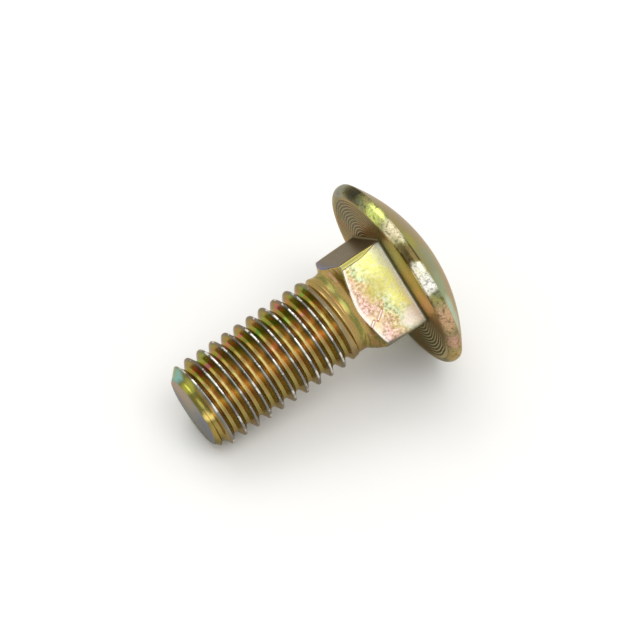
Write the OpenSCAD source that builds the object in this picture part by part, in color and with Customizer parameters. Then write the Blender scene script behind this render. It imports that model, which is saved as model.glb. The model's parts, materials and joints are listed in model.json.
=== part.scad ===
// Round-head square-neck carriage bolt, 1/2 inch with 13 threads to the inch.
// It lies on the plane Z = 0 as it comes to rest: on the rim of its head and on a thread crest.
// Each shape is built upright first, with the underside of the head at Z = 0 and the shank below.

/* [Head] */
// Diameter of the head at its widest
head_d = 27.4; // [24:0.1:32]
// Height of the head above its flat underside
head_h = 6.05; // [5:0.05:9]
// Diameter of the edge where the dome meets the rim
dome_edge_d = 26.8; // [20:0.1:27]
// Height of that edge above the underside
rim_h = 1.75; // [1.5:0.05:3]
// Radius of the round between the underside and the rim
rim_round = 1.1; // [0.3:0.1:1.4]
// Angle by which that round carries on above the head's widest place
rim_over = 11.5; // [0:0.5:30]

/* [Square neck] */
// Width of the square neck across its flats
neck_w = 12.4; // [11.8:0.1:13]
// Depth of the neck below the head, at the middle of each flat
neck_h = 7.1; // [4:0.05:9]
// Distance from the axis to a corner of the square, at the head
corner_top = 8.74; // [8.4:0.02:9]
// Distance from the axis to a corner of the square, at its lower end
corner_low = 8.4; // [7.8:0.05:8.7]
// Radius of the sphere that ends the neck
neck_end_r = 18.8; // [12:0.1:40]
// Radius of the hollow fillet between that sphere and the shank
neck_fillet = 1.3; // [0.4:0.1:2]
// Radius of the small hollow fillet between the flats and the head
seat_fillet = 0.6; // [0.2:0.1:1]
// Turn of the square about the axis, as the bolt lies
neck_turn = 47; // [0:1:90]

/* [Shank and thread] */
// Length below the head
bolt_l = 31.5; // [22:0.1:60]
// Diameter of the plain shank, the blank that the thread is rolled on
blank_d = 11.46; // [11.2:0.02:11.8]
// Diameter over the crests of the thread
thread_d = 12.56; // [12.3:0.02:12.7]
// Diameter at the roots of the thread
root_d = 10.48; // [10.2:0.02:10.9]
// Distance from one crest to the next
pitch = 1.954; // [1.8:0.001:2.2]
// Width of the flat on a crest
crest_w = 0.2; // [0.1:0.01:0.4]
// Plain shank between the fillet and the first trace of the thread
plain_l = 0.4; // [0.1:0.1:4]
// Length over which the thread grows to its full depth
run_out = 2.4; // [1:0.1:5]
// Diameter of the flat at the point
point_d = 9.7; // [8:0.1:10.4]
// Slope of the chamfer at the point, from the axis
point_slope = 45; // [30:1:60]
// Turn of the thread about the axis, as the bolt lies
thread_turn = 258; // [0:1:359]

/* [Hidden] */
$fn = 96;

// Sections of the groove in one turn
groove_sides = 32;
// Half the angle between the flanks of the thread
flank = 30;
// Height of the eased corners at the root
root_ease = 0.12;
// Height of the groove's floor over the plain shank, where the groove starts
groove_start = 0.04;
// How far a cutting shape stands past what it cuts
clear = 0.15;

head_r = head_d / 2;
edge_r = dome_edge_d / 2;
blank_r = blank_d / 2;
thread_r = thread_d / 2;
root_r = root_d / 2;
point_r = point_d / 2;
neck_half = neck_w / 2;

// The dome is part of a sphere, through its edge and its top
dome_rise = head_h - rim_h;
dome_r = (edge_r ^ 2 + dome_rise ^ 2) / (2 * dome_rise);

// The sphere has its middle on the axis, and passes the middle of each flat at the neck's depth
end_mid = sqrt(neck_end_r ^ 2 - neck_half ^ 2) - neck_h;
corner_end = sqrt(neck_end_r ^ 2 - corner_low ^ 2) - end_mid;
// The corners curve in towards their lower end on an arc of this radius
corner_in = corner_top - corner_low;
corner_arc = (corner_in ^ 2 + corner_end ^ 2) / (2 * corner_in);
// The fillet touches the sphere here, and the shank at its own depth
fillet_x = blank_r + neck_fillet;
fillet_end = sqrt((neck_end_r + neck_fillet) ^ 2 - fillet_x ^ 2) - end_mid;
fillet_share = neck_end_r / (neck_end_r + neck_fillet);
touch_x = fillet_x * fillet_share;
touch_z = end_mid - (end_mid + fillet_end) * fillet_share;
// The flare under the head stands this far into it
flare_sink = rim_h / 2;

// The thread starts here below the head, is whole from here on, and the chamfer cuts it from here
thread_top = fillet_end + plain_l;
thread_full = thread_top + run_out;
chamfer_top = bolt_l - (thread_r - point_r) / tan(point_slope);

// Half the width of the groove's floor
floor_half = (pitch - crest_w) / 2 - (thread_r - root_r) * tan(flank);
// The groove starts a pitch below the point and climbs to the first trace of thread
groove_low = -bolt_l - pitch;
groove_n = ceil((-thread_top - groove_low) / pitch * groove_sides);

// Crest edges on the lowest line of the lying thread, and the rim of the flat point
crest_shift = pitch * (thread_turn / 360) + crest_w / 2;
crests = [for (k = [-2:ceil(bolt_l / pitch)]) bolt_l + crest_shift - k * pitch];
feet = [
    for (s = crests) if (s > thread_full && s < bolt_l)
        [min(thread_r, point_r + (bolt_l - s) * tan(point_slope)), s],
    [point_r, bolt_l]
];
// The bolt lies on the line that touches the round of the rim and one of those edges
rim_c = head_r - rim_round;
function tilt_on(foot) =
    let (run = rim_round + foot[1], rise = rim_c - foot[0])
    atan2(rise, run) + asin(rim_round / norm([run, rise]));
tilt = min([for (foot = feet) tilt_on(foot)]);
// Height of the head's underside over the floor, on the axis
lift = rim_round + rim_c * cos(tilt) - rim_round * sin(tilt);
// Ends of the bolt along X, measured from that same point
far_x = dome_r - (dome_r - head_h) * cos(tilt);
near_x = -bolt_l * cos(tilt) - point_r * sin(tilt);

// Points round the groove's section: its floor lies at radius r, on the helix at height z
function groove_section(r, z) =
    let (
        out = thread_r + clear,
        out_half = floor_half + (out - r) * tan(flank),
        ease_half = floor_half + root_ease * tan(flank),
        half_floor = floor_half / 2
    )
    [
        [out, z - out_half], [r + root_ease, z - ease_half], [r, z - half_floor],
        [r, z + half_floor], [r + root_ease, z + ease_half], [out, z + out_half]
    ];

// Radius of the groove's floor: it sinks into the blank over the run-out
function floor_r(z) =
    let (
        start_r = blank_r + groove_start,
        grown = max(0, min(1, (-z - thread_top) / run_out))
    )
    start_r - (start_r - root_r) * grown;

module lay_down() {
    translate([-(far_x + near_x) / 2, 0, lift])
        rotate([0, 90 - tilt, 0])
            children();
}

// Half of the head's section: the dome over a rim with a rounded lower edge
module head_section() {
    intersection() {
        translate([0, head_h - dome_r])
            circle(dome_r);
        union() {
            square([rim_c, head_h]);
            translate([0, rim_round * (1 + sin(rim_over))])
                square([rim_c + rim_round * cos(rim_over), head_h]);
            translate([rim_c, rim_round])
                circle(rim_round);
        }
    }
}

module head() {
    rotate_extrude()
        intersection() {
            head_section();
            square([head_r, head_h]);
        }
}

// Half-section that rounds the corners of the square more towards the shank and ends the neck
module neck_section() {
    intersection() {
        translate([0, touch_z])
            square([corner_top, -touch_z]);
        translate([corner_top - corner_arc, 0])
            circle(corner_arc);
        translate([0, end_mid])
            circle(neck_end_r);
    }
    difference() {
        translate([0, -fillet_end])
            square([touch_x, fillet_end + touch_z]);
        translate([fillet_x, -fillet_end])
            circle(neck_fillet);
    }
}

// Section of the flare where the flats curve out into the head
module flare_section() {
    wide = neck_half + seat_fillet;
    difference() {
        translate([-wide, -seat_fillet])
            square([2 * wide, seat_fillet + flare_sink]);
        for (side = [-1, 1])
            translate([side * wide, -seat_fillet])
                circle(seat_fillet);
    }
}

module neck_flare() {
    intersection_for(turn = [0, 90])
        rotate([90, 0, turn])
            linear_extrude(neck_w + 2 * seat_fillet, center = true)
                flare_section();
}

module square_neck() {
    intersection() {
        rotate_extrude()
            neck_section();
        rotate([0, 0, neck_turn])
            translate([-neck_half, -neck_half, -fillet_end])
                cube([neck_w, neck_w, fillet_end]);
    }
    rotate([0, 0, neck_turn])
        neck_flare();
}

// Shank at the size of the crests, with the growing first crests and the chamfered point
module shank() {
    rotate_extrude()
        polygon([
            [0, 0], [blank_r, 0], [blank_r, -thread_top], [thread_r, -thread_full],
            [thread_r, -chamfer_top], [point_r, -bolt_l], [0, -bolt_l]
        ]);
}

// The space between the threads: a section carried round a right-hand helix
module thread_groove() {
    sections = [
        for (i = [0:groove_n])
            let (turn = i * 360 / groove_sides, z = groove_low + pitch * turn / 360)
            [for (p = groove_section(floor_r(z), z))
                [p[0] * cos(turn), p[0] * sin(turn), p[1]]]
    ];
    points = [for (s = sections) each s];
    n = len(sections[0]);
    sides = [
        for (i = [0:groove_n - 1], j = [0:n - 1])
            let (a = i * n + j, b = i * n + (j + 1) % n)
            each [[a, b + n, b], [a, a + n, b + n]]
    ];
    first = [for (j = [0:n - 1]) j];
    last = [for (j = [n - 1:-1:0]) groove_n * n + j];
    rotate([0, 0, thread_turn + 180])
        polyhedron(points, concat([first], sides, [last]));
}

module carriage_bolt() {
    color("#a8956a")
        lay_down() {
            head();
            square_neck();
            difference() {
                shank();
                thread_groove();
            }
        }
}

carriage_bolt();
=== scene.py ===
# %% [markdown]
# This lesson dresses a carriage bolt: a smooth round head, a square neck under it that bites into
# timber, and a thread down to a chamfered point. The real one is one piece of steel wire,
# cold-headed and thread-rolled, then zinc-plated and dipped in yellow chromate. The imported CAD
# model gives its place and size, and everything here is made in that same frame, in metres.

# %% Load the frame
import json
import math

import bpy
import numpy as np
from mathutils import Matrix, Vector


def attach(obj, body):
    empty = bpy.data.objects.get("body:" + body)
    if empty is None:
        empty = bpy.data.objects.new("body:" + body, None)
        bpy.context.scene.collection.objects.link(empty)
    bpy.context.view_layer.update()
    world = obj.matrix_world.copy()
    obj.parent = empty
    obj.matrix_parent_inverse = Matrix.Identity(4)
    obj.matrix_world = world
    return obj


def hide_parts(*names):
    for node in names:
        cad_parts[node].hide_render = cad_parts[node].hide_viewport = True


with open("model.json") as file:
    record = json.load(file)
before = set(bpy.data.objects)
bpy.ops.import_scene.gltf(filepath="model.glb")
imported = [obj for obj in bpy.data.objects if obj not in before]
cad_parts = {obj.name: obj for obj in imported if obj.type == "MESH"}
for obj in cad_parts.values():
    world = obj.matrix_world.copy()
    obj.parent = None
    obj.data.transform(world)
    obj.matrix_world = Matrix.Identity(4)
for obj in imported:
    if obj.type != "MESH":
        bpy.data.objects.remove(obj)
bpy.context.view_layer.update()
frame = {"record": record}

# %% [markdown]
# Colours are written as sRGB hex, as a paint chart or a picture editor shows them. Shaders work in
# linear light, so one function turns them over. A second function adds a shader node, sets it up
# and links its inputs, so that every material below reads as a list of what goes into what.

# %% Two helpers
def linear(hex_colour):
    channels = [int(hex_colour[i:i + 2], 16) / 255 for i in (1, 3, 5)]
    return [c / 12.92 if c <= 0.04045 else ((c + 0.055) / 1.055) ** 2.4 for c in channels] + [1.0]


def add(tree, kind, inputs=None, stops=None, **settings):
    made = tree.nodes.new("ShaderNode" + kind)
    for name, value in settings.items():
        setattr(made, name, value)
    for key, value in (inputs or {}).items():
        if isinstance(value, bpy.types.NodeSocket):
            tree.links.new(value, made.inputs[key])
        else:
            made.inputs[key].default_value = value
    if stops:
        ramp = made.color_ramp.elements
        while len(ramp) < len(stops):
            ramp.new(1.0)
        for element, (position, colour) in zip(ramp, stops):
            element.position = position
            element.color = linear(colour)
    return made


print("a mid grey of #808080 is", round(linear("#808080")[0], 3), "in linear light")

# %% [markdown]
# The bolt's own directions come from the record's mounts: the thread's axis runs out of the point,
# and its position is the middle of the flat point. The bolt lies down, so the axis is tilted.
# Points are given by their depth below the head, their distance from the axis and their turn.

# %% Where the bolt lies
mounts = {mount["name"]: mount for mount in frame["record"]["mounts"]}
point_mid = np.array(mounts["thread"]["pos_m"])
to_head = -np.array(mounts["thread"]["axis"])
to_head /= np.linalg.norm(to_head)
seat_spot = np.array(mounts["head_seat"]["pos_m"])
BOLT_L = 1000 * float((seat_spot - point_mid) @ to_head)
seat_mid = point_mid + to_head * BOLT_L / 1000
down = np.array([0.0, 0.0, -1.0])
down -= to_head * float(down @ to_head)
down /= np.linalg.norm(down)
side = np.cross(to_head, down)


def place(depth, radius, turn):
    """Points in metres, from mm and radians."""
    depth, radius, turn = np.broadcast_arrays(depth, radius, turn)
    out = np.cos(turn)[..., None] * down + np.sin(turn)[..., None] * side
    return seat_mid - depth[..., None] * to_head / 1000 + radius[..., None] * out / 1000


print("length below the head:", round(BOLT_L, 3), "mm, axis", to_head.round(4).tolist())

# %% [markdown]
# These are the CAD part's sizes, in millimetres, with one difference: the small hollow between
# the square and the head is drawn at 0.28 mm, where the CAD part has 0.6 mm, because it looks that
# tight on the real one. The head is part of a sphere over a short rim, the neck is a square that a
# larger sphere ends, and the thread is the half-inch size with thirteen turns to the inch.

# %% Sizes in millimetres
HEAD_R, HEAD_H, DOME_EDGE_R, RIM_H, RIM_ROUND = 13.7, 6.05, 13.4, 1.75, 1.1
RIM_OVER = math.radians(11.5)
NECK_HALF, NECK_H, CORNER_TOP, CORNER_LOW = 6.2, 7.1, 8.74, 8.4
NECK_END_R, NECK_FILLET, SEAT_FILLET = 18.8, 1.3, 0.28
NECK_TURN, THREAD_TURN = 47.0, 258.0
BLANK_R, THREAD_R, ROOT_R = 5.73, 6.28, 5.24
PITCH, CREST_W, PLAIN_L, RUN_OUT = 1.954, 0.2, 0.4, 2.4
POINT_R, POINT_SLOPE, FLANK = 4.85, math.radians(45), math.radians(30)

# The corners of the small hollow under the head reach this far from the axis
FLARE_TIP = 8.76
# The rim's round has its middle here, and stops at the second radius above its widest place
RIM_MID = HEAD_R - RIM_ROUND
LAND_R = RIM_MID + RIM_ROUND * math.cos(RIM_OVER)
# The flat that faces the camera lies opposite the turn of the square, in degrees
FRONT_TURN = NECK_TURN + 180

DOME_RISE = HEAD_H - RIM_H
DOME_R = (DOME_EDGE_R ** 2 + DOME_RISE ** 2) / (2 * DOME_RISE)
END_MID = math.sqrt(NECK_END_R ** 2 - NECK_HALF ** 2) - NECK_H
CORNER_END = math.sqrt(NECK_END_R ** 2 - CORNER_LOW ** 2) - END_MID
CORNER_IN = CORNER_TOP - CORNER_LOW
CORNER_ARC = (CORNER_IN ** 2 + CORNER_END ** 2) / (2 * CORNER_IN)
FILLET_X = BLANK_R + NECK_FILLET
FILLET_END = math.sqrt((NECK_END_R + NECK_FILLET) ** 2 - FILLET_X ** 2) - END_MID
TOUCH_X = FILLET_X * NECK_END_R / (NECK_END_R + NECK_FILLET)
THREAD_TOP = FILLET_END + PLAIN_L
FLOOR_HALF = (PITCH - CREST_W) / 2 - (THREAD_R - ROOT_R) * math.tan(FLANK)
print("dome radius", round(DOME_R, 2), "mm, thread starts", round(THREAD_TOP, 2),
      "mm below the head")

# %% [markdown]
# One mesh stands for the whole bolt, because the real one is one piece and its light runs on from
# surface to surface. It is made of rings of points round the axis. The points crowd together at the
# four corners of the square neck, where the shape turns fastest, and every ring uses the same turns
# so that neighbouring rings join without gaps.

# %% Turns of the points in a ring
# Points on each quarter, and how strongly they crowd towards its corners
STEPS, CROWDING = 48, 1.5
share = np.arange(STEPS) / (STEPS / 2) - 1
from_flat = np.radians(45 * np.sign(share) * (1 - (1 - abs(share)) ** CROWDING))
turns = np.concatenate([math.radians(NECK_TURN + 90 * k) + from_flat for k in range(4)])
off_flat = np.tile(from_flat, 4)
AROUND = len(turns)
rings = []


def ring(depth, radius, finish):
    rings.append((np.full(AROUND, depth) if np.isscalar(depth) else depth,
                  np.full(AROUND, radius) if np.isscalar(radius) else radius, finish))


def lower_of(a, b, soft):
    """The lower of two curves, with the corner between them rounded."""
    return (a + b - np.sqrt((a - b) ** 2 + soft ** 2)) / 2


print("points in a ring:", AROUND)

# %% [markdown]
# The head is upset in a die, so its dome is smooth and its edges are never sharp. Its curve is the
# CAD part's section with the edge between dome and rim eased by 0.4 mm.

# %% Rings of the head
DOME, RIM, UNDERSIDE, NECK, SHOULDER, THREAD, POINT = range(7)
# Radius of the eased edge, and the angle from the dome's top to its first ring
EASE_R, FIRST_LEAN = 0.4, 0.02
edge_lean = math.asin(LAND_R / DOME_R)
ease = EASE_R * math.tan((math.pi / 2 - edge_lean) / 2)
dome_mid = DOME_R - HEAD_H
last_lean = edge_lean - ease / DOME_R
for lean in np.linspace(FIRST_LEAN, last_lean, 24):
    ring(dome_mid - DOME_R * math.cos(lean), DOME_R * math.sin(lean), DOME)
corner_depth = dome_mid - DOME_R * math.cos(edge_lean)
for lean in np.linspace(edge_lean, math.pi / 2, 7)[1:]:
    ring(corner_depth + ease - EASE_R * math.cos(lean),
         LAND_R - EASE_R + EASE_R * math.sin(lean), RIM)
for bend in np.linspace(-RIM_OVER, math.pi / 2, 14):
    ring(-RIM_ROUND + RIM_ROUND * math.sin(bend), RIM_MID + RIM_ROUND * math.cos(bend), RIM)
print("head rings:", len(rings))

# %% [markdown]
# The underside is flat and carries the fine rings of the die's turned face. It runs in to the root
# of the square, where a small hollow flare joins the two. The square's corners are slightly round
# at the head and rounder towards the shank. The corner that the camera sees is struck flat as well,
# by up to 0.4 mm; the CAD part has that corner whole.

# %% Rings of the underside and the neck
WORN_CORNER = math.radians(NECK_TURN + 135)
# The struck place starts at the first depth, grows over the second, takes off the third at most
# and reaches the fourth to either side, as an angle
STRUCK_FROM, STRUCK_OVER, STRUCK_BY, STRUCK_SIDE = 0.8, 2.4, 0.4, 0.4
NO_LIMIT = 99
# How softly the square's corners are rounded, in the hollow and on the neck
FLARE_SOFT, CORNER_SOFT = 0.1, 0.08


def square(half, limit):
    return lower_of(half / np.cos(off_flat), limit, FLARE_SOFT)


flare_foot = square(NECK_HALF + SEAT_FILLET, FLARE_TIP)
for part in (0.12, 0.3, 0.5, 0.68, 0.82, 0.92, 1.0):
    ring(0.0, RIM_MID * (1 - part) + flare_foot * part, UNDERSIDE)
for bend in np.linspace(0, math.pi / 2, 8)[1:]:
    tip = FLARE_TIP + (CORNER_TOP - FLARE_TIP) * math.sin(bend)
    half = NECK_HALF + SEAT_FILLET * (1 - math.sin(bend))
    ring(SEAT_FILLET * (1 - math.cos(bend)), square(half, tip), NECK)


def neck_radius(depth):
    rounded = CORNER_TOP - CORNER_ARC + np.sqrt(CORNER_ARC ** 2 - depth ** 2)
    struck = np.clip((depth - STRUCK_FROM) / STRUCK_OVER, 0, 1)
    flattened = (CORNER_TOP - STRUCK_BY * struck) / np.cos(turns - WORN_CORNER)
    flattened = np.where(abs(turns - WORN_CORNER) < STRUCK_SIDE, flattened, NO_LIMIT)
    return lower_of(NECK_HALF / np.cos(off_flat), np.minimum(rounded, flattened), CORNER_SOFT)


# The curve that ends the neck: a sphere, from outside the corners, then a hollow fillet
CURVE_OUT, CURVE_STEPS = 9.4, 60
sphere_r = np.linspace(CURVE_OUT, TOUCH_X, CURVE_STEPS)
hollow_bend = np.linspace(math.asin((FILLET_X - TOUCH_X) / NECK_FILLET), math.pi / 2, CURVE_STEPS)
curve_r = np.concatenate([sphere_r, FILLET_X - NECK_FILLET * np.sin(hollow_bend)[1:]])
sphere_s = np.sqrt(NECK_END_R ** 2 - curve_r ** 2) - END_MID
hollow_s = FILLET_END - np.sqrt(np.maximum(0, NECK_FILLET ** 2 - (FILLET_X - curve_r) ** 2))
curve_s = np.where(curve_r >= TOUCH_X, sphere_s, hollow_s)
curve_run = np.concatenate([[0], np.cumsum(np.hypot(np.diff(curve_r), np.diff(curve_s)))])


def curve_depth(radius):
    return np.interp(-radius, -curve_r, curve_s)


# Six rounds bring the end of the neck to where its sides and that curve meet
neck_end = np.full(AROUND, NECK_H)
for _ in range(6):
    neck_end = curve_depth(neck_radius(neck_end))
# The edge there is eased over this distance on either side
EDGE = 0.16
for part in (0.04, 0.12, 0.24, 0.36, 0.48, 0.6, 0.72, 0.84, 0.94, 1.0):
    depth = SEAT_FILLET + (neck_end - EDGE - SEAT_FILLET) * part
    ring(depth, neck_radius(depth), NECK)
edge_r = neck_radius(neck_end)
edge_run = np.interp(-edge_r, -curve_r, curve_run)
over_run = edge_run + EDGE
over_r = np.interp(over_run, curve_run, curve_r)
over_s = np.interp(over_run, curve_run, curve_s)
before_s = neck_end - EDGE
before_r = neck_radius(before_s)
for t in (0.25, 0.5, 0.75, 1.0):
    a, b, c = (1 - t) ** 2, 2 * t * (1 - t), t * t
    ring(a * before_s + b * neck_end + c * over_s, a * before_r + b * edge_r + c * over_r, NECK)
for part in np.linspace(0, 1, 15)[1:]:
    run = over_run + (curve_run[-1] - over_run) * part
    ring(np.interp(run, curve_run, curve_s), np.interp(run, curve_run, curve_r), SHOULDER)
ring(THREAD_TOP, BLANK_R, SHOULDER)
print("rings from the dome to the shank:", len(rings), "neck ends", neck_end.min().round(2), "to",
      neck_end.max().round(2))

# %% [markdown]
# The thread is rolled between dies, which press a groove into the blank and raise a crest beside
# it. Its rows of points climb round the shank with the helix, so that each row stays on one line of
# the thread: root, flank or crest. Twenty-four rows make one pitch, close together where the
# section bends. Where a row runs past the plain shank or the point, it ends on that ring.

# %% Rows of the thread
# The groove's floor starts this far over the plain shank
GROOVE_START = 0.04
# How softly the root is rounded, the crest at its start, how much more the full crest, and the
# chamfer's edge
ROOT_SOFT, START_SOFT, CREST_SOFT, CHAMFER_SOFT = 0.08, 0.002, 0.05, 0.02
# The rows stop this far from the end, and rings make the rest of the point
POINT_FROM = 0.26


def grown(depth):
    return np.clip((depth - THREAD_TOP) / RUN_OUT, 0, 1)


def groove_offset(depth, turn):
    """Distance along the axis from the middle of the nearest groove."""
    turned = (depth - BOLT_L) / PITCH + (turn - math.radians(THREAD_TURN)) / (2 * math.pi)
    return (np.mod(turned, 1.0) - 0.5) * PITCH


def thread_radius(depth, turn):
    growth = grown(depth)
    start = BLANK_R + GROOVE_START
    root = start - (start - ROOT_R) * growth
    out = np.abs(groove_offset(depth, turn)) - FLOOR_HALF
    flank = root + (out + np.sqrt(out ** 2 + ROOT_SOFT ** 2)) / 2 / math.tan(FLANK)
    crest = BLANK_R + (THREAD_R - BLANK_R) * growth
    chamfer = POINT_R + (BOLT_L - depth) * math.tan(POINT_SLOPE)
    rolled = lower_of(flank, crest, START_SOFT + CREST_SOFT * growth)
    return lower_of(rolled, chamfer, CHAMFER_SOFT)


half_rows = [0.12, 0.20, 0.26, 0.32, 0.42, 0.54, 0.66, 0.76, 0.84, 0.885, 0.93]
row_spots = np.array([-d for d in half_rows[::-1]] + [0.0] + half_rows + [PITCH / 2])
PER_PITCH = len(row_spots)
THREAD_LOW = BOLT_L - POINT_FROM
turn_run = (turns - turns[0]) / (2 * math.pi) * PITCH
groove_mid = BOLT_L - PITCH * (turns[0] - math.radians(THREAD_TURN)) / (2 * math.pi) + PITCH / 2
first_pitch = math.floor((THREAD_TOP - groove_mid) / PITCH) - 1
pitches = math.ceil((THREAD_LOW - THREAD_TOP) / PITCH) + 4
row_depth = np.concatenate([groove_mid + (first_pitch + k) * PITCH + row_spots
                            for k in range(pitches)])
helix_s = row_depth[:, None] - turn_run[None, :]
helix_r = thread_radius(helix_s, turns[None, :])
ring(THREAD_LOW, thread_radius(np.full(AROUND, THREAD_LOW), turns), POINT)
low_ring = len(rings) - 1
print("thread rows:", len(row_depth), "with", PER_PITCH, "to a pitch of", PITCH, "mm")

# %% [markdown]
# The point is cut flat and chamfered so that a nut starts easily. The cut edge is eased a little.

# %% Rings of the point
# Length of chamfer below the last row, radius of the eased edge, and how far in its middle lies
CHAMFER_RUN, POINT_EASE, POINT_IN = 0.16, 0.16, 0.066
for part in (0.45, 0.8):
    ring(THREAD_LOW + CHAMFER_RUN * part,
         POINT_R + (POINT_FROM - CHAMFER_RUN * part) * math.tan(POINT_SLOPE), POINT)
for lean in np.linspace(math.radians(45), 0, 6):
    ring(BOLT_L - POINT_EASE + POINT_EASE * math.cos(lean),
         POINT_R - POINT_IN + POINT_EASE * math.sin(lean), POINT)
for radius in (4.4, 3.9, 3.2, 2.4, 1.6, 0.8):
    ring(BOLT_L, radius, POINT)
print("rings in all:", len(rings))

# %% [markdown]
# The rings and rows become one closed mesh. Each point also keeps values that the materials read:
# its depth, its distance from the axis, how high it stands in the thread (0 at a root, 1 at a
# crest), which flank it lies on, which pair of flats it belongs to, how near it is to the neck's
# end, how much is struck off its corner, its place across a flat, and how far it faces the side
# that is up.

# %% Build the mesh
# A row's points this near to a plain ring end on that ring
ROW_MARGIN = 0.02
depths = np.concatenate([r[0] for r in rings])
radii = np.concatenate([r[1] for r in rings])
angles = np.tile(turns, len(rings))
upper_ring = low_ring - 1
grid = np.empty(helix_s.shape, int)
inside = (helix_s > THREAD_TOP + ROW_MARGIN) & (helix_s < THREAD_LOW - ROW_MARGIN)
column = np.broadcast_to(np.arange(AROUND), helix_s.shape)
end_ring = np.where(helix_s < (THREAD_TOP + THREAD_LOW) / 2, upper_ring, low_ring)
grid[~inside] = end_ring[~inside] * AROUND + column[~inside]
grid[inside] = len(depths) + np.arange(int(inside.sum()))
depths = np.concatenate([depths, helix_s[inside], [-HEAD_H, BOLT_L]])
radii = np.concatenate([radii, helix_r[inside], [0.0, 0.0]])
angles = np.concatenate([angles, np.broadcast_to(turns, helix_s.shape)[inside], [0.0, 0.0]])
dome_top, point_end = len(depths) - 2, len(depths) - 1

faces, finishes = [], []
for k in range(len(rings) - 1):
    if k == upper_ring:
        continue
    for i in range(AROUND):
        j = (i + 1) % AROUND
        faces.append((k * AROUND + i, k * AROUND + j, (k + 1) * AROUND + j, (k + 1) * AROUND + i))
        finishes.append(rings[k + 1][2])
last_ring = (len(rings) - 1) * AROUND
for i in range(AROUND):
    j = (i + 1) % AROUND
    faces.append((dome_top, j, i))
    finishes.append(DOME)
    faces.append((point_end, last_ring + i, last_ring + j))
    finishes.append(POINT)
beside = np.roll(grid, -1, axis=1)
beside[:, -1] = np.concatenate([np.full(PER_PITCH, upper_ring * AROUND), grid[:-PER_PITCH, 0]])
for n in range(len(grid) - 1):
    for i in range(AROUND):
        corners = (grid[n, i], beside[n, i], beside[n + 1, i], grid[n + 1, i])
        kept = [c for m, c in enumerate(corners) if c != corners[m - 1]]
        if len(set(kept)) > 2:
            faces.append(tuple(int(c) for c in kept))
            finishes.append(THREAD)

bolt_mesh = bpy.data.meshes.new("bolt")
bolt_mesh.from_pydata(place(depths, radii, angles).tolist(), [], faces)
bolt_mesh.polygons.foreach_set("material_index", finishes)

# Width of the painted highlight along the neck's end, and the amount struck off that counts as all
# worn
EDGE_WIDE, ALL_WORN = 0.3, 0.3
# The struck place is looked for around this depth, and this far from it
WORN_MID, WORN_REACH = 3.5, 3.4
# Turn of the side that faces up
UPPER_TURN = math.radians(150)
end_of_flat = np.tile(neck_end, len(rings))
ringed = len(end_of_flat)
edge = np.zeros(len(depths))
edge[:ringed] = np.clip(1.3 - abs(depths[:ringed] - end_of_flat) / EDGE_WIDE, 0, 1)
quarter = math.pi / 4
from_middle = np.mod(angles - math.radians(NECK_TURN) + quarter, math.pi / 2) - quarter
struck_off = NECK_HALF / np.cos(from_middle) - radii
for name, values in (
        ("depth", depths),
        ("radius", radii),
        ("height", np.clip((radii - ROOT_R) / (THREAD_R - ROOT_R), 0, 1)),
        ("lean", np.sin(2 * np.pi * groove_offset(depths, angles) / PITCH)),
        ("front", 0.5 + 0.5 * np.cos(2 * (angles - math.radians(NECK_TURN)))),
        ("edge", edge),
        ("worn", np.clip(struck_off / ALL_WORN, 0, 1) * (abs(depths - WORN_MID) < WORN_REACH)),
        ("across", radii * np.sin(from_middle)),
        ("upper", 0.5 + 0.5 * np.cos(angles - UPPER_TURN))):
    kept_values = bolt_mesh.attributes.new(name, "FLOAT", "POINT")
    kept_values.data.foreach_set("value", values.astype(np.float32))
bolt_mesh.validate(verbose=True)
bolt_mesh.shade_smooth()
bolt_mesh.set_sharp_from_angle(angle=math.radians(60))
bolt = bpy.data.objects.new("bolt", bolt_mesh)
bpy.context.scene.collection.objects.link(bolt)

edge_uses = np.zeros(len(bolt_mesh.edges), int)
loop_edges = np.empty(len(bolt_mesh.loops), int)
bolt_mesh.loops.foreach_get("edge_index", loop_edges)
np.add.at(edge_uses, loop_edges, 1)
bolt_mesh.calc_loop_triangles()
print("triangles:", len(bolt_mesh.loop_triangles), "edges not shared by two faces:",
      int((edge_uses != 2).sum()))

# %% [markdown]
# Yellow chromate is a film a fraction of a micron thick on bright zinc. It is gold where it is even
# and turns lemon, green, teal or pink where it is thinner or thicker, in soft patches a few
# millimetres across. The finishes below all start from this: a metal whose colour comes from a ramp
# of those tones over a slow noise, a fine speckle from the worked steel below, and a bump of 0.003
# to 0.03 mm. Seen along the surface, the film keeps a warm tint.

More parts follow.
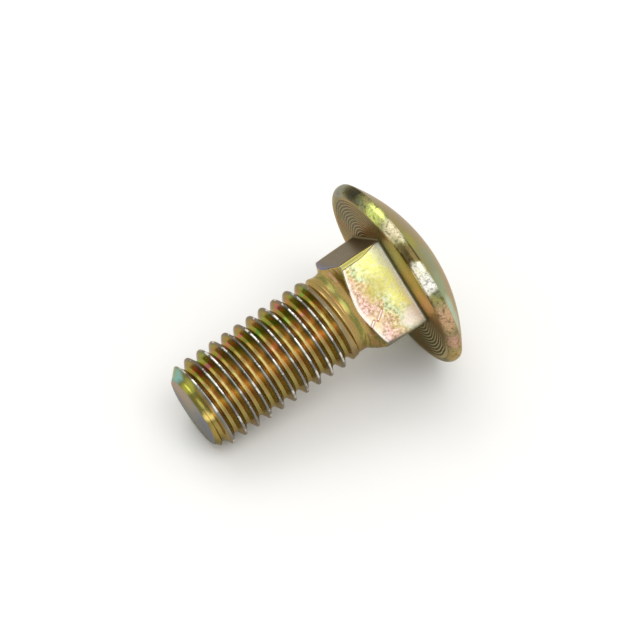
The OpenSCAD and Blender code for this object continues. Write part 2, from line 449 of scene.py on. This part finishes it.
# %% Yellow chromate over zinc
def yellow_zinc(name, film, grain, patch_mm, bump_mm, seed, roughness, extra,
                grain_mm=0.25, detail=3.0):
    material = bpy.data.materials.new(name)
    material.use_nodes = True
    tree = material.node_tree
    tree.nodes.clear()
    where = add(tree, "TexCoord").outputs["Object"]
    patch = add(tree, "TexNoise", {"Vector": where, "W": seed, "Scale": 1000 / patch_mm,
                                   "Detail": detail, "Roughness": 0.6, "Distortion": 0.6},
                noise_dimensions="4D")
    colour = add(tree, "ValToRGB", {"Fac": patch.outputs["Fac"]}, stops=film).outputs["Color"]
    fine = add(tree, "TexNoise", {"Vector": where, "Scale": 1000 / grain_mm, "Detail": 2.0,
                                  "Roughness": 0.7})
    colour, relief = extra(tree, where, colour, fine.outputs["Fac"])
    speck = add(tree, "MapRange", {"Value": fine.outputs["Fac"], "From Min": 0.3, "From Max": 0.7,
                                   "To Min": grain[0], "To Max": grain[1]})
    colour = add(tree, "VectorMath", {0: colour, "Scale": speck.outputs["Result"]},
                 operation="SCALE").outputs[0]
    rough = add(tree, "MapRange", {"Value": fine.outputs["Fac"], "From Min": 0.3, "From Max": 0.7,
                                   "To Min": roughness[0], "To Max": roughness[1]})
    bump = add(tree, "Bump", {"Height": relief, "Strength": 1.0, "Distance": bump_mm / 1000})
    metal = add(tree, "BsdfPrincipled", {"Base Color": colour, "Metallic": 1.0,
                                         "Roughness": rough.outputs["Result"],
                                         "Specular Tint": linear("#e8dac8"),
                                         "Normal": bump.outputs["Normal"]})
    add(tree, "OutputMaterial", {"Surface": metal.outputs["BSDF"]})
    print("finish:", name, "with", len(tree.nodes), "nodes")
    return material

# %% [markdown]
# Where the film pooled or was rubbed, the tone changes at one place only, and painted highlights,
# reflections and shade are laid in the same way. Such a place is a soft spot: its depth, distance
# from the axis and turn put it on the bolt, and a noise moves its edge by up to a millimetre or two
# so that it doesn't look round. Each is written as depth, distance, turn in degrees, size, tone and
# how much of the tone it takes.

# %% Spots of another tone
def wavy(tree, where, amount_mm=1.0, size_mm=1.6):
    shift = add(tree, "TexNoise", {"Vector": where, "Scale": 1000 / size_mm, "Detail": 2.0})
    shift = add(tree, "VectorMath", {0: shift.outputs["Color"], 1: (0.5, 0.5, 0.5)},
                operation="SUBTRACT").outputs[0]
    # The shift runs from -0.5 to 0.5, so this takes it to that many millimetres either way
    return add(tree, "VectorMath", {0: shift, 1: (amount_mm / 500,) * 3, 2: where},
               operation="MULTIPLY_ADD").outputs[0]


def spots(tree, where, colour, marks):
    for depth, radius, turn, size, tone, amount in marks:
        middle = place(depth, radius, math.radians(turn)).tolist()
        gap = add(tree, "VectorMath", {0: where, 1: middle}, operation="DISTANCE").outputs["Value"]
        mask = add(tree, "MapRange", {"Value": gap, "From Min": size / 1000,
                                      "From Max": size / 4000, "To Max": amount},
                   interpolation_type="SMOOTHSTEP").outputs["Result"]
        colour = add(tree, "Mix", {0: mask, 6: colour, 7: linear(tone)},
                     data_type="RGBA").outputs[2]
    return colour


print("the rim's front is at", place(-1.1, HEAD_R, math.radians(FRONT_TURN)).round(4).tolist())

# %% [markdown]
# The dome was pressed smooth in a polished die, so it shows the film's tones most plainly and its
# grain least; two light teal spots at its edge are painted highlights. The rim beside it was left
# by the edge of the die: darker, with dark pits, and with lemon, cream and white patches that are
# painted highlights.

# %% Finishes of the head
def dome_tones(tree, where, colour, relief):
    moved = wavy(tree, where, 2.0, 4.0)
    # The light teal spots at turns 252 and 263 are painted highlights; the rest are tones of the
    # film
    return spots(tree, moved, colour, [
        (-4.6, 9.0, 160, 5.5, "#a8815a", 0.8), (-3.9, 9.5, 185, 4.5, "#8e8672", 0.7),
        (-2.0, 13.0, 205, 2.4, "#989c4c", 0.8), (-3.4, 10.9, 222, 3.4, "#7c9682", 0.7),
        (-2.6, 12.4, 238, 3.4, "#86a890", 0.7), (-2.1, 13.1, 252, 2.6, "#acd2c2", 0.8),
        (-1.9, 13.2, 263, 2.4, "#b4d8c8", 0.7), (-5.0, 6.0, 201, 4.0, "#a8806c", 0.5)]), relief


dome_zinc = yellow_zinc(
    "yellow zinc, pressed dome",
    film=[(0.30, "#a08058"), (0.42, "#98865a"), (0.50, "#8f8c5c"), (0.57, "#8a8c6a"),
          (0.64, "#8e8a74"), (0.72, "#9a8866")],
    grain=(0.92, 1.08), patch_mm=12.0, detail=0.6, bump_mm=0.003, seed=2.0,
    roughness=(0.24, 0.36), extra=dome_tones)


def rim_tones_and_highlights(tree, where, colour, relief):
    moved = wavy(tree, where, 0.9, 1.2)
    # The lemon, cream and white spots are painted highlights; the others are other tones
    colour = spots(tree, moved, colour, [
        (-1.1, 13.7, 134, 4.4, "#748280", 0.9), (-1.1, 13.7, 155, 3.4, "#34382e", 1.0),
        (-0.4, 13.4, 180, 2.5, "#ccd878", 1.0), (-1.1, 13.7, 195, 2.3, "#e4d8b0", 1.0),
        (-0.9, 13.6, 211, 2.8, "#5c5030", 1.0), (-0.3, 13.3, 222, 1.8, "#f2eed6", 1.0),
        (-0.6, 13.5, 230, 2.0, "#fffdf2", 1.0), (-0.5, 13.5, 254, 3.4, "#c8a080", 0.8),
        (-0.5, 13.5, 274, 2.6, "#c89c88", 0.7), (-0.5, 13.5, 292, 3.6, "#b8a066", 0.85)])
    pits = add(tree, "TexNoise", {"Vector": where, "Scale": 1000 / 0.5, "Detail": 2.0})
    pits = add(tree, "MapRange", {"Value": pits.outputs["Fac"], "From Min": 0.56,
                                  "From Max": 0.64, "To Max": 0.6}).outputs["Result"]
    colour = add(tree, "Mix", {0: pits, 6: colour, 7: linear("#3c3320")}, data_type="RGBA")
    return colour.outputs[2], relief


rim_zinc = yellow_zinc(
    "yellow zinc, rounded rim",
    film=[(0.30, "#6e6a54"), (0.42, "#8c8458"), (0.50, "#948f58"), (0.57, "#7c8664"),
          (0.66, "#96806e")],
    grain=(0.7, 1.3), patch_mm=4.0, bump_mm=0.008, seed=5.0, roughness=(0.2, 0.4),
    extra=rim_tones_and_highlights)

# %% [markdown]
# Under the head the die left fine turned rings, here 0.45 mm apart as on the real one. They show as
# a shallow bump and as darker lines where the chromate pooled. They stop near the rim, and fade in
# front of the two flats where the metal flowed over them.

# %% Finish of the underside
RING_MM = 0.45


def die_rings_and_painted_reflection(tree, where, colour, relief):
    # Painted reflection: these spots lighten the underside on its front and lower side and darken
    # it on its upper side
    colour = spots(tree, wavy(tree, where), colour, [
        (0, 10.8, 124, 5.6, "#7c7c58", 0.95), (0, 10.4, 206, 3.4, "#b0ac68", 0.9),
        (0, 10.2, 225, 3.4, "#c0a860", 0.9), (0, 10.4, 246, 3.6, "#dcac68", 0.9),
        (0, 11.0, 300, 6.4, "#e0d8a4", 0.9)])
    radius = add(tree, "Attribute", attribute_name="radius").outputs["Fac"]
    wobble = add(tree, "TexNoise", {"Vector": where, "Scale": 300.0, "Detail": 1.0}).outputs["Fac"]
    moved = add(tree, "Math", {0: wobble, 1: 0.5, 2: radius}, operation="MULTIPLY_ADD").outputs[0]
    wave = add(tree, "Math", {0: moved, 1: 2 * math.pi / RING_MM}, operation="MULTIPLY").outputs[0]
    wave = add(tree, "Math", {0: wave}, operation="SINE").outputs[0]
    band = add(tree, "MapRange", {"Value": wave, "From Min": -0.6, "From Max": 0.1}
               ).outputs["Result"]
    outer = add(tree, "MapRange", {"Value": radius, "From Min": 12.5, "From Max": 12.0}
                ).outputs["Result"]
    band = add(tree, "Math", {0: band, 1: outer}, operation="MULTIPLY").outputs[0]
    front = add(tree, "Attribute", attribute_name="front").outputs["Fac"]
    kept = add(tree, "MapRange", {"Value": front, "From Min": 0.95, "From Max": 0.5,
                                  "To Min": 0.12}).outputs["Result"]
    fade = add(tree, "Math", {0: band, 1: kept}, operation="MULTIPLY").outputs[0]
    colour = add(tree, "Mix", {0: fade, 6: colour, 7: linear("#242010")},
                 data_type="RGBA").outputs[2]
    relief = add(tree, "Math", {0: band, 1: -0.8, 2: relief}, operation="MULTIPLY_ADD").outputs[0]
    return colour, relief


underside_zinc = yellow_zinc(
    "yellow zinc, die-turned underside",
    film=[(0.30, "#96783c"), (0.40, "#b08444"), (0.48, "#a4884a"), (0.56, "#908c4c"),
          (0.68, "#7c865c")],
    grain=(0.8, 1.15), patch_mm=5.0, bump_mm=0.03, seed=1.0, roughness=(0.26, 0.4),
    extra=die_rings_and_painted_reflection)

# %% [markdown]
# The square neck was struck by a rougher die. Two of its flats took a thin, uneven film: lemon by
# the head, pink towards the shank, full of bright and dark grain, and painted bright as a lit copy.
# The other two are its painted shaded copy: an even dark grey, darkest by the head, where a
# reflection of the underside is painted, and bluer towards the shank. The ramp runs along the depth
# below the head, and an attribute that is 1 on the first two flats and 0 on the others chooses
# between them. The struck corner, with painted shade in its creases, the edge at the neck's end,
# with a painted highlight, painted shade where the flats meet the head, and two short nicks come on
# top.

# %% Finish of the neck
def flat_tones(tree, where, colour, relief):
    depth = add(tree, "Attribute", attribute_name="depth").outputs["Fac"]
    across = add(tree, "Attribute", attribute_name="across").outputs["Fac"]
    drift = add(tree, "TexNoise", {"Vector": where, "Scale": 1000 / 2.2, "Detail": 5.0,
                                   "Roughness": 0.75}).outputs["Fac"]
    run = add(tree, "Math", {0: drift, 1: 6.5, 2: depth}, operation="MULTIPLY_ADD").outputs[0]
    run = add(tree, "Math", {0: across, 1: 0.3, 2: run}, operation="MULTIPLY_ADD").outputs[0]
    run = add(tree, "MapRange", {"Value": run, "From Min": 3.2, "From Max": 10.8}
              ).outputs["Result"]
    lit_film = add(tree, "ValToRGB", {"Fac": run}, stops=[
        (0.0, "#fdfcd2"), (0.12, "#fbfb9c"), (0.30, "#f8f79a"), (0.42, "#e9efb0"),
        (0.50, "#cfe0b4"), (0.56, "#e6d894"), (0.64, "#e4c79a"), (0.74, "#ecc7ae"),
        (0.88, "#f0c2b8"), (1.0, "#f4dccf")]).outputs["Color"]
    chips = add(tree, "TexNoise", {"Vector": where, "Scale": 1000 / 0.4, "Detail": 3.0,
                                   "Roughness": 0.8}).outputs["Fac"]
    near = add(tree, "MapRange", {"Value": run, "From Min": 0.24, "From Max": 0.5}
               ).outputs["Result"]
    dark = add(tree, "MapRange", {"Value": chips, "From Min": 0.5, "From Max": 0.58,
                                  "To Max": 0.75}).outputs["Result"]
    dark = add(tree, "Math", {0: dark, 1: near}, operation="MULTIPLY").outputs[0]
    lit_film = add(tree, "Mix", {0: dark, 6: lit_film, 7: linear("#87773c")},
                 data_type="RGBA").outputs[2]
    light = add(tree, "MapRange", {"Value": chips, "From Min": 0.45, "From Max": 0.36,
                                   "To Max": 0.9}).outputs["Result"]
    lit_film = add(tree, "Mix", {0: light, 6: lit_film, 7: linear("#fffaf2")},
                 data_type="RGBA").outputs[2]
    # Painted highlight along the head's edge of the lit flats
    head_edge_highlight = add(tree, "MapRange", {"Value": depth, "From Min": 1.0, "From Max": 0.5,
                                    "To Max": 0.8}).outputs["Result"]
    lit_film = add(tree, "Mix", {0: head_edge_highlight, 6: lit_film, 7: linear("#fffef0")},
                 data_type="RGBA").outputs[2]
    lit_film = spots(tree, wavy(tree, where), lit_film, [
        (1.3, 7.7, 263, 2.4, "#fdeee2", 0.85), (3.8, 6.4, 214, 2.6, "#ccbc60", 0.6),
        (6.2, 6.8, 250, 1.8, "#f4e8b4", 0.6)])

    # The two grey flats: the painted shaded copy, darkest by the head where a reflection of the
    # underside is painted
    along = add(tree, "MapRange", {"Value": depth, "From Min": 0.5, "From Max": 6.5}
                ).outputs["Result"]
    shade = add(tree, "ValToRGB", {"Fac": along}, stops=[
        (0.0, "#353020"), (0.35, "#4b483c"), (0.6, "#565348"), (0.85, "#5a584e"),
        (1.0, "#4c5464")]).outputs["Color"]
    colour = add(tree, "Mix", {0: 0.75, 6: colour, 7: shade}, data_type="RGBA").outputs[2]
    # The lit copy goes where this is 1, the shaded copy where it is 0
    front = add(tree, "Attribute", attribute_name="front").outputs["Fac"]
    front = add(tree, "MapRange", {"Value": front, "From Min": 0.42, "From Max": 0.58}
                ).outputs["Result"]

    # The struck corner, from the painted shade in its creases to its rubbed middle
    worn = add(tree, "Attribute", attribute_name="worn").outputs["Fac"]
    strip = add(tree, "ValToRGB", {"Fac": worn}, stops=[
        (0.05, "#3c2e1c"), (0.26, "#453822"), (0.36, "#e6cf74"), (0.65, "#aaa04c"),
        (1.0, "#84864c")]).outputs["Color"]
    upper = add(tree, "Attribute", attribute_name="upper").outputs["Fac"]
    upper = add(tree, "MapRange", {"Value": upper, "From Min": 0.3, "From Max": 0.8}
                ).outputs["Result"]
    strip = add(tree, "Mix", {0: upper, 6: linear("#6e6c5c"), 7: strip},
                data_type="RGBA").outputs[2]
    # At the neck's end the lit flats take a painted highlight and the grey ones a blue-grey
    at_end = add(tree, "Attribute", attribute_name="edge").outputs["Fac"]
    lit_film = add(tree, "Mix", {0: at_end, 6: lit_film, 7: linear("#fdf6ea")},
                 data_type="RGBA").outputs[2]
    colour = add(tree, "Mix", {0: at_end, 6: colour, 7: linear("#626c92")},
                 data_type="RGBA").outputs[2]
    colour = add(tree, "Mix", {0: front, 6: colour, 7: lit_film}, data_type="RGBA").outputs[2]
    worn = add(tree, "MapRange", {"Value": worn, "From Min": 0.02, "From Max": 0.12,
                                  "To Max": 0.9}).outputs["Result"]
    colour = add(tree, "Mix", {0: worn, 6: colour, 7: strip}, data_type="RGBA").outputs[2]
    # Painted shade in the crease where the flats meet the head
    seat_shade = add(tree, "MapRange", {"Value": depth, "From Min": 0.34, "From Max": 0.2,
                                  "To Max": 0.95}).outputs["Result"]
    colour = add(tree, "Mix", {0: seat_shade, 6: colour, 7: linear("#3a3c1c")},
                 data_type="RGBA").outputs[2]

    # Two nicks in the front flat: rows of small spots, rusty with a bright line inside
    nicks = []
    for size, tone, reach in ((0.3, "#a85a40", 1.0), (0.17, "#fffaf2", 0.8)):
        for nick_depth, nick_across, length in ((5.1, 2.0, 1.5), (6.5, 2.5, 0.9)):
            for step in np.linspace(-0.5, 0.5, 7) * reach:
                at, over = nick_depth + step * length * 0.8, nick_across + step * length * 0.62
                turn = FRONT_TURN + math.degrees(math.atan2(over, NECK_HALF))
                nicks.append((at, math.hypot(NECK_HALF, over), turn, size, tone, 0.85))
    return spots(tree, where, colour, nicks), relief


neck_zinc = yellow_zinc(
    "yellow zinc, struck square",
    film=[(0.30, "#443e30"), (0.45, "#5e5848"), (0.55, "#524e48"), (0.70, "#685e52")],
    grain=(0.8, 1.15), grain_mm=0.2, patch_mm=2.0, bump_mm=0.01, seed=3.0,
    roughness=(0.3, 0.42), extra=flat_tones)

# %% [markdown]
# Below the neck the wire keeps the streaks of its drawing, which run round the curve in step with
# the depth and the distance from the axis.

# %% Finish of the shoulder
def drawn_streaks(tree, where, colour, relief):
    depth = add(tree, "Attribute", attribute_name="depth").outputs["Fac"]
    radius = add(tree, "Attribute", attribute_name="radius").outputs["Fac"]
    slow = add(tree, "TexNoise", {"Vector": where, "Scale": 1000 / 6.0, "Detail": 1.0})
    slow = add(tree, "Math", {0: slow.outputs["Fac"], 1: 3.0}, operation="MULTIPLY").outputs[0]
    along = add(tree, "CombineXYZ", {"X": depth, "Y": radius, "Z": slow}).outputs["Vector"]
    streak = add(tree, "TexNoise", {"Vector": along, "Scale": 1.5, "Detail": 3.0,
                                    "Roughness": 0.6}).outputs["Fac"]
    tint = add(tree, "ValToRGB", {"Fac": streak}, stops=[
        (0.30, "#7a5c30"), (0.38, "#8f7040"), (0.44, "#727a40"), (0.50, "#a08c50"),
        (0.56, "#b89a5c"), (0.61, "#b07c54"), (0.67, "#d0a89c"),
        (0.74, "#88804a")]).outputs["Color"]
    return add(tree, "Mix", {0: 0.75, 6: colour, 7: tint}, data_type="RGBA").outputs[2], relief


shoulder_zinc = yellow_zinc(
    "yellow zinc, drawn shoulder",
    film=[(0.30, "#707040"), (0.45, "#a08c50"), (0.55, "#80844a"), (0.70, "#a87c54")],
    grain=(0.85, 1.12), grain_mm=0.2, patch_mm=3.0, bump_mm=0.006, seed=4.0,
    roughness=(0.22, 0.36), extra=drawn_streaks)

# %% [markdown]
# Rolled threads are burnished by the dies. The flanks that face the point are red-brown and those
# that face the head straw, and the film is rubbed off the crests, which show grey zinc with painted
# glints. The roots are narrow, so their pale tone, the film's own with a painted highlight, is held
# to a thin line at the bottom of the groove. Underneath, the flanks are painted olive as shade, and
# along the upper side, seen at a grazing angle, the film's green and pink sheen is painted in.
# Round the shank the metal mirrors lighter and darker parts of its surroundings. The white world
# here has none, so a ramp of greys lays those bands in as painted reflection.

# %% Finish of the thread
# The greys of the painted reflection bands only darken, so the tone is lifted by this much after
# them
BAND_LIFT = 1.45


def chamfer_tones(tree, where):
    # The bright gold spot at turn 232 is a painted highlight; the others are tones of the film
    return spots(tree, wavy(tree, where), linear("#6e6a3a"), [
        (30.9, 5.5, 126, 2.4, "#80b89c", 0.8), (30.9, 5.5, 150, 1.9, "#7cb8b4", 0.85),
        (30.9, 5.5, 180, 1.6, "#a6a444", 0.9), (30.9, 5.5, 208, 1.8, "#6c642c", 0.9),
        (30.9, 5.5, 232, 1.3, "#f2d67c", 1.0), (30.9, 5.5, 262, 2.6, "#a08a4c", 0.9)])


def by_height(tree, where, colour, relief):
    height = add(tree, "Attribute", attribute_name="height").outputs["Fac"]
    flank_side = add(tree, "Attribute", attribute_name="lean").outputs["Fac"]
    ragged = add(tree, "TexNoise", {"Vector": where, "Scale": 1000 / 0.9, "Detail": 2.0})
    level = add(tree, "Math", {0: ragged.outputs["Fac"], 1: 0.18, 2: height},
                operation="MULTIPLY_ADD").outputs[0]
    level = add(tree, "Math", {0: level, 1: 0.09}, operation="SUBTRACT").outputs[0]
    off_root = add(tree, "Math", {0: flank_side}, operation="ABSOLUTE").outputs[0]
    off_root = add(tree, "MapRange", {"Value": off_root, "From Min": 0.15, "From Max": 0.5,
                                      "To Max": 0.2}).outputs["Result"]
    level = add(tree, "Math", {0: level, 1: off_root}, operation="MAXIMUM").outputs[0]
    # The pale first stop of both ramps is the root's line: the film's tone with a painted highlight
    point_flank = add(tree, "ValToRGB", {"Fac": level}, stops=[
        (0.0, "#a09060"), (0.05, "#947a48"), (0.18, "#b07a4c"), (0.50, "#c07c50"),
        (0.61, "#987c5e"), (0.71, "#716e67"), (1.0, "#868480")]).outputs["Color"]
    head_flank = add(tree, "ValToRGB", {"Fac": level}, stops=[
        (0.0, "#a09060"), (0.06, "#988656"), (0.35, "#d4c488"), (0.60, "#b8ac80"),
        (0.71, "#716e67"), (1.0, "#868480")]).outputs["Color"]
    facing = add(tree, "MapRange", {"Value": flank_side, "From Min": -0.3, "From Max": 0.3}
                 ).outputs["Result"]
    tint = add(tree, "Mix", {0: facing, 6: point_flank, 7: head_flank},
               data_type="RGBA").outputs[2]

    # Painted sheen: green and pink film along the upper side, where it is seen at a grazing angle,
    # thin on the crests
    upper = add(tree, "Attribute", attribute_name="upper").outputs["Fac"]
    upper_sheen = add(tree, "MapRange", {"Value": upper, "From Min": 0.86, "From Max": 0.97,
                                    "To Min": 0.14, "To Max": 0.9}).outputs["Result"]
    film = add(tree, "MapRange", {"Value": level, "From Min": 0.9, "From Max": 0.6,
                                  "To Min": 0.1}).outputs["Result"]
    film = add(tree, "Math", {0: film, 1: upper_sheen}, operation="MULTIPLY").outputs[0]
    tint = add(tree, "Mix", {0: film, 6: tint, 7: colour}, data_type="RGBA").outputs[2]

    # Painted shade: olive flanks on the lower side
    under_shade = add(tree, "MapRange", {"Value": upper, "From Min": 0.58, "From Max": 0.3,
                                   "To Max": 0.75}).outputs["Result"]
    on_flank = add(tree, "MapRange", {"Value": level, "From Min": 0.72, "From Max": 0.55}
                   ).outputs["Result"]
    under_shade = add(tree, "Math", {0: under_shade, 1: on_flank}, operation="MULTIPLY").outputs[0]
    tint = add(tree, "Mix", {0: under_shade, 6: tint, 7: linear("#90864e")}, data_type="RGBA").outputs[2]

    # Painted reflection: bands of lighter and darker tone round the shank
    reflection_bands = add(tree, "ValToRGB", {"Fac": upper}, stops=[
        (0.0, "#dcdcdc"), (0.33, "#dadada"), (0.42, "#c8c8c8"), (0.49, "#c4c4c4"),
        (0.56, "#e2e2e2"), (0.62, "#ffffff"), (0.68, "#c0c0c0"), (0.75, "#aeaeae"),
        (0.81, "#dedede"), (0.86, "#c6c6c6"), (0.92, "#a0a0a0"), (0.965, "#909090"),
        (1.0, "#b4b4b4")]).outputs["Color"]
    tint = add(tree, "VectorMath", {0: tint, 1: reflection_bands}, operation="MULTIPLY").outputs[0]
    tint = add(tree, "VectorMath", {0: tint, "Scale": BAND_LIFT}, operation="SCALE").outputs[0]

    # Painted glints on the crests
    glint = add(tree, "TexNoise", {"Vector": where, "Scale": 1000 / 2.4, "Detail": 5.0,
                                   "Roughness": 0.65}).outputs["Fac"]
    glint = add(tree, "MapRange", {"Value": glint, "From Min": 0.5, "From Max": 0.56,
                                   "To Max": 0.9}).outputs["Result"]
    crest = add(tree, "MapRange", {"Value": level, "From Min": 0.86, "From Max": 0.98}
                ).outputs["Result"]
    glint = add(tree, "Math", {0: glint, 1: crest}, operation="MULTIPLY").outputs[0]
    tint = add(tree, "Mix", {0: glint, 6: tint, 7: linear("#e4e4de")}, data_type="RGBA").outputs[2]

    # The first turn keeps the blank's tone, and the chamfer cuts the last one
    depth = add(tree, "Attribute", attribute_name="depth").outputs["Fac"]
    start = add(tree, "MapRange", {"Value": depth, "From Min": THREAD_TOP + RUN_OUT,
                                   "From Max": THREAD_TOP + 1.2, "To Max": 0.8})
    tint = add(tree, "Mix", {0: start.outputs["Result"], 6: tint, 7: linear("#a48a54")},
               data_type="RGBA").outputs[2]
    cut = add(tree, "MapRange", {"Value": depth, "From Min": 29.9, "From Max": 30.4}
              ).outputs["Result"]
    tint = add(tree, "Mix", {0: cut, 6: tint, 7: chamfer_tones(tree, where)}, data_type="RGBA")
    return tint.outputs[2], relief


thread_zinc = yellow_zinc(
    "yellow zinc, rolled thread",
    film=[(0.30, "#74b84c"), (0.42, "#9cc044"), (0.48, "#c89450"), (0.53, "#98b840"),
          (0.59, "#d89444"), (0.66, "#e07c94"), (0.74, "#b8b050")],
    grain=(0.94, 1.06), grain_mm=0.22, patch_mm=2.6, bump_mm=0.003, seed=6.0,
    roughness=(0.2, 0.3), extra=by_height)

# %% [markdown]
# The point was sheared flat and chamfered by the blank's own cutter before rolling. Its face is a
# dull grey with a violet cast, and its chamfer is olive with teal places and a painted gold
# highlight, as the end of the thread is.

# %% Finish of the point
def point_tones(tree, where, colour, relief):
    depth = add(tree, "Attribute", attribute_name="depth").outputs["Fac"]
    face = add(tree, "MapRange", {"Value": depth, "From Min": 31.42, "From Max": 31.47}
               ).outputs["Result"]
    colour = spots(tree, where, colour, [
        (31.5, 3.6, 150, 4.6, "#a89484", 0.8), (31.5, 4.6, 265, 4.4, "#68728e", 0.8)])
    slope = chamfer_tones(tree, where)
    return add(tree, "Mix", {0: face, 6: slope, 7: colour}, data_type="RGBA").outputs[2], relief


point_zinc = yellow_zinc(
    "yellow zinc, sheared point",
    film=[(0.30, "#96908a"), (0.45, "#868a86"), (0.55, "#7e888a"), (0.70, "#787e9a")],
    grain=(0.85, 1.12), patch_mm=5.0, bump_mm=0.012, seed=7.0, roughness=(0.32, 0.48),
    extra=point_tones)

# %% Put the finishes on and say what the mesh stands for
for material in (dome_zinc, rim_zinc, underside_zinc, neck_zinc, shoulder_zinc, thread_zinc,
                 point_zinc):
    bolt_mesh.materials.append(material)
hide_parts("carriage_bolt")
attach(bolt, "root")
print("materials on the bolt:", [m.name for m in bolt_mesh.materials])

# %% [markdown]
# The floor is a pale sheet. It takes the bolt's soft shadow, and the world behind it is white for
# the camera and for reflections, and dimmer for the light that it sheds.

# %% Floor and background
floor_mesh = bpy.data.meshes.new("floor")
floor_mesh.from_pydata([(-4, -4, 0), (4, -4, 0), (4, 4, 0), (-4, 4, 0)], [], [(0, 1, 2, 3)])
floor = bpy.data.objects.new("floor", floor_mesh)
bpy.context.scene.collection.objects.link(floor)
paper = bpy.data.materials.new("pale card")
paper.use_nodes = True
paper.node_tree.nodes.clear()
sheet = add(paper.node_tree, "BsdfPrincipled", {"Base Color": linear("#f4f3f0"), "Roughness": 0.9})
add(paper.node_tree, "OutputMaterial", {"Surface": sheet.outputs["BSDF"]})
floor_mesh.materials.append(paper)

# Strength of the light that the world sheds; what is seen of it has the strength 1
SHED = 0.88
world = bpy.data.worlds.new("studio")
bpy.context.scene.world = world
world.use_nodes = True
world.node_tree.nodes.clear()
path = add(world.node_tree, "LightPath")
seen = path.outputs["Is Camera Ray"]
for ray in ("Is Glossy Ray", "Is Transmission Ray"):
    seen = add(world.node_tree, "Math", {0: seen, 1: path.outputs[ray]},
               operation="MAXIMUM").outputs[0]
strength = add(world.node_tree, "MapRange", {"Value": seen, "To Min": SHED, "To Max": 1.0})
sky = add(world.node_tree, "Background", {"Color": (1, 1, 1, 1),
                                          "Strength": strength.outputs["Result"]})
add(world.node_tree, "OutputWorld", {"Surface": sky.outputs["Background"]})
print("floor and world made")

# %% [markdown]
# Two very large soft lamps do the rest, as the panels of a light tent do: one overhead on the
# camera's left and one behind on the right. Bare metal shows its lamps, so they are large and weak,
# because a small strong one would burn a white hole into the finish.

# %% Lamps
def soft_lamp(name, azimuth, height, distance, size, radiance):
    """A disk lamp that faces the bolt; its energy is what gives that radiance at its size."""
    a, h = math.radians(azimuth), math.radians(height)
    stand = Vector((math.cos(a) * math.cos(h), math.sin(a) * math.cos(h), math.sin(h))) * distance
    data = bpy.data.lights.new(name, "AREA")
    data.shape, data.size = "DISK", size
    data.energy = radiance * math.pi * math.pi * size ** 2 / 4
    lamp = bpy.data.objects.new(name, data)
    lamp.location = stand
    lamp.rotation_euler = (-stand).to_track_quat("-Z", "Y").to_euler()
    bpy.context.scene.collection.objects.link(lamp)


soft_lamp("panel above", -90, 62, 0.9, 0.6, 2.4)
soft_lamp("panel back", 95, 58, 0.9, 0.5, 1.8)

# %% [markdown]
# The camera stands where the photograph was taken from: 47 degrees above the floor, on the side of
# the point, almost half a metre away with a 200 mm lens. It was found by fitting the model's edges
# to the photograph.

# %% Camera
RISE, TURN = math.radians(46.694), math.radians(56.719)
# Where the camera stands from the frame's origin, in metres: behind, to its own right and its own
# top
CAMERA_BACK, CAMERA_RIGHT, CAMERA_UP = 0.461938, 0.000728, 0.00917
# The fitted focal length and the photograph's width in pixels, and the width of a full frame in mm
FOCAL_PX, PHOTO_PX, SENSOR_MM = 3500, 630, 36
ahead = Vector((math.cos(RISE) * math.cos(TURN), math.cos(RISE) * math.sin(TURN), -math.sin(RISE)))
right = Vector((math.sin(TURN), -math.cos(TURN), 0))
up = right.cross(ahead)
stand = -CAMERA_BACK * ahead + CAMERA_RIGHT * right + CAMERA_UP * up
camera_data = bpy.data.cameras.new("camera")
camera_data.lens = FOCAL_PX / PHOTO_PX * SENSOR_MM
camera_data.sensor_width = SENSOR_MM
camera_data.clip_end = 20
camera = bpy.data.objects.new("camera", camera_data)
camera.matrix_world = Matrix(((right.x, up.x, -ahead.x, stand.x),
                              (right.y, up.y, -ahead.y, stand.y),
                              (right.z, up.z, -ahead.z, stand.z), (0, 0, 0, 1)))
bpy.context.scene.collection.objects.link(camera)
bpy.context.scene.camera = camera
bpy.context.scene.view_settings.view_transform = "Standard"
print("camera at", [round(v, 3) for v in stand], "lens", round(camera_data.lens, 1), "mm")
